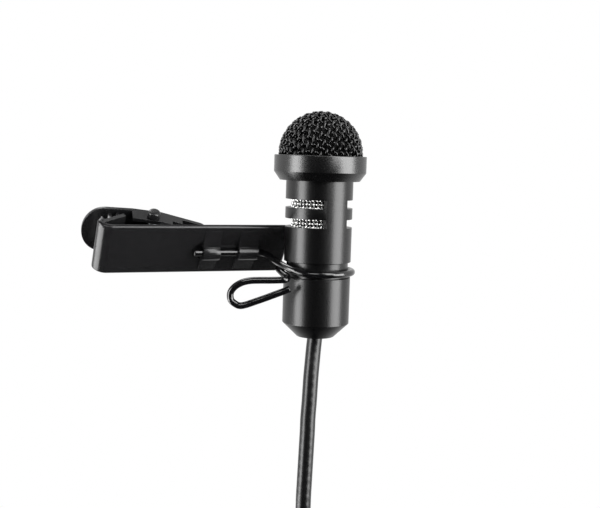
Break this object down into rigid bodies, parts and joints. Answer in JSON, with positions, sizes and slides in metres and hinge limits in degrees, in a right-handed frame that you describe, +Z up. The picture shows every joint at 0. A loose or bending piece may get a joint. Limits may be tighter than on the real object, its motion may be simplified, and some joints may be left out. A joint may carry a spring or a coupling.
{
  "type": "lavalier microphone",
  "caption": "Small black clip-on microphone: wire-mesh head, slotted turned body in a spring-wire ring on a hinged tie clip, thin cable in a tied hank, small round plug.",
  "frame": {"origin": "middle of the line where the clip's teeth meet its jaw, which is where it grips a garment", "axes": "+Z up along the microphone's axis, +X along the clip from its mouth to the microphone, -Y to the front"},
  "size_m": [0.0491, 0.0354, 0.1754],
  "materials": {
    "black_anodised": "turned aluminium, blasted and black anodised, satin",
    "black_wire_cloth": "woven round wire, black oxide",
    "black_foam": "open-cell foam, matt",
    "steel_wire_cloth": "woven stainless wire, bright",
    "capsule_metal": "drawn aluminium can",
    "felt": "pressed felt",
    "circuit_board": "glass-epoxy board, solder mask",
    "board_component": "moulded component bodies",
    "black_rubber": "moulded rubber, matt",
    "core_insulation": "extruded PVC insulation",
    "lead_insulation": "extruded PVC insulation",
    "crimp_metal": "tinned copper tube",
    "black_enamel": "pressed spring steel, gloss black stoved enamel",
    "black_spring_wire": "drawn spring wire, gloss black lacquer",
    "bare_steel": "drawn steel",
    "cable_jacket": "extruded thermoplastic rubber jacket, satin",
    "strap_fabric": "woven nylon strap",
    "black_chrome": "turned brass, black chrome, satin",
    "clamp_plastic": "moulded acetal",
    "insert_plastic": "moulded black nylon",
    "gold_contact": "turned brass, gold flash",
    "bright_latch": "die-cast, satin nickel"
  },
  "bodies": {
    "clip": {"clip_plate": "black_enamel", "hinge_pin": "bare_steel", "clip_spring": "bare_steel"},
    "jaw": {"jaw_lever": "black_enamel"},
    "holder": {"mic_holder": "black_spring_wire"},
    "mic": {"grille_dome": "black_wire_cloth", "grille_foam": "black_foam", "head_ring": "black_anodised", "body_tube": "black_anodised", "port_screen": "steel_wire_cloth", "capsule_can": "capsule_metal", "capsule_felt": "felt", "capsule_board": "circuit_board", "capsule_boot": "black_rubber", "capsule_leads": "lead_insulation", "preamp_board": "circuit_board", "board_parts": "board_component", "cable_cores": "core_insulation", "cable_ferrule": "crimp_metal", "cable_grommet": "black_rubber", "cable": "cable_jacket", "cable_hank": "cable_jacket", "hank_tie": "strap_fabric", "plug_boot": "black_rubber", "plug_nut": "black_chrome", "plug_clamp": "clamp_plastic", "plug_shell": "black_chrome", "plug_insert": "insert_plastic", "plug_contacts": "gold_contact", "plug_cores": "core_insulation", "latch_spring": "bare_steel"},
    "latch": {"latch_button": "bright_latch"}
  },
  "joints": [
    {"name": "jaw_hinge", "type": "hinge", "parent": "clip", "child": "jaw", "pos_m": [0.0051, -0.00116, -0.00081], "axis": [0, 0.5736, -0.8192], "range_deg": [0, 15], "stiffness_Nm_per_rad": 0.02, "springref_deg": -28.65, "deforming": ["clip_spring"]},
    {"name": "holder_swivel", "type": "hinge", "parent": "clip", "child": "holder", "pos_m": [0.0284, -0.00416, -0.00291], "axis": [1, 0, 0], "range_deg": [0, 70]},
    {"name": "mic_turn", "type": "hinge", "parent": "holder", "child": "mic", "pos_m": [0.0284, -0.01066, 0], "axis": [0, 0, 1], "continuous": true},
    {"name": "latch_press", "type": "slide", "parent": "mic", "child": "latch", "axis": [0, 1, 0], "range_m": [0, 0.0006], "stiffness_N_per_m": 300, "springref_m": -0.0005, "deforming": ["latch_spring"]}
  ]
}
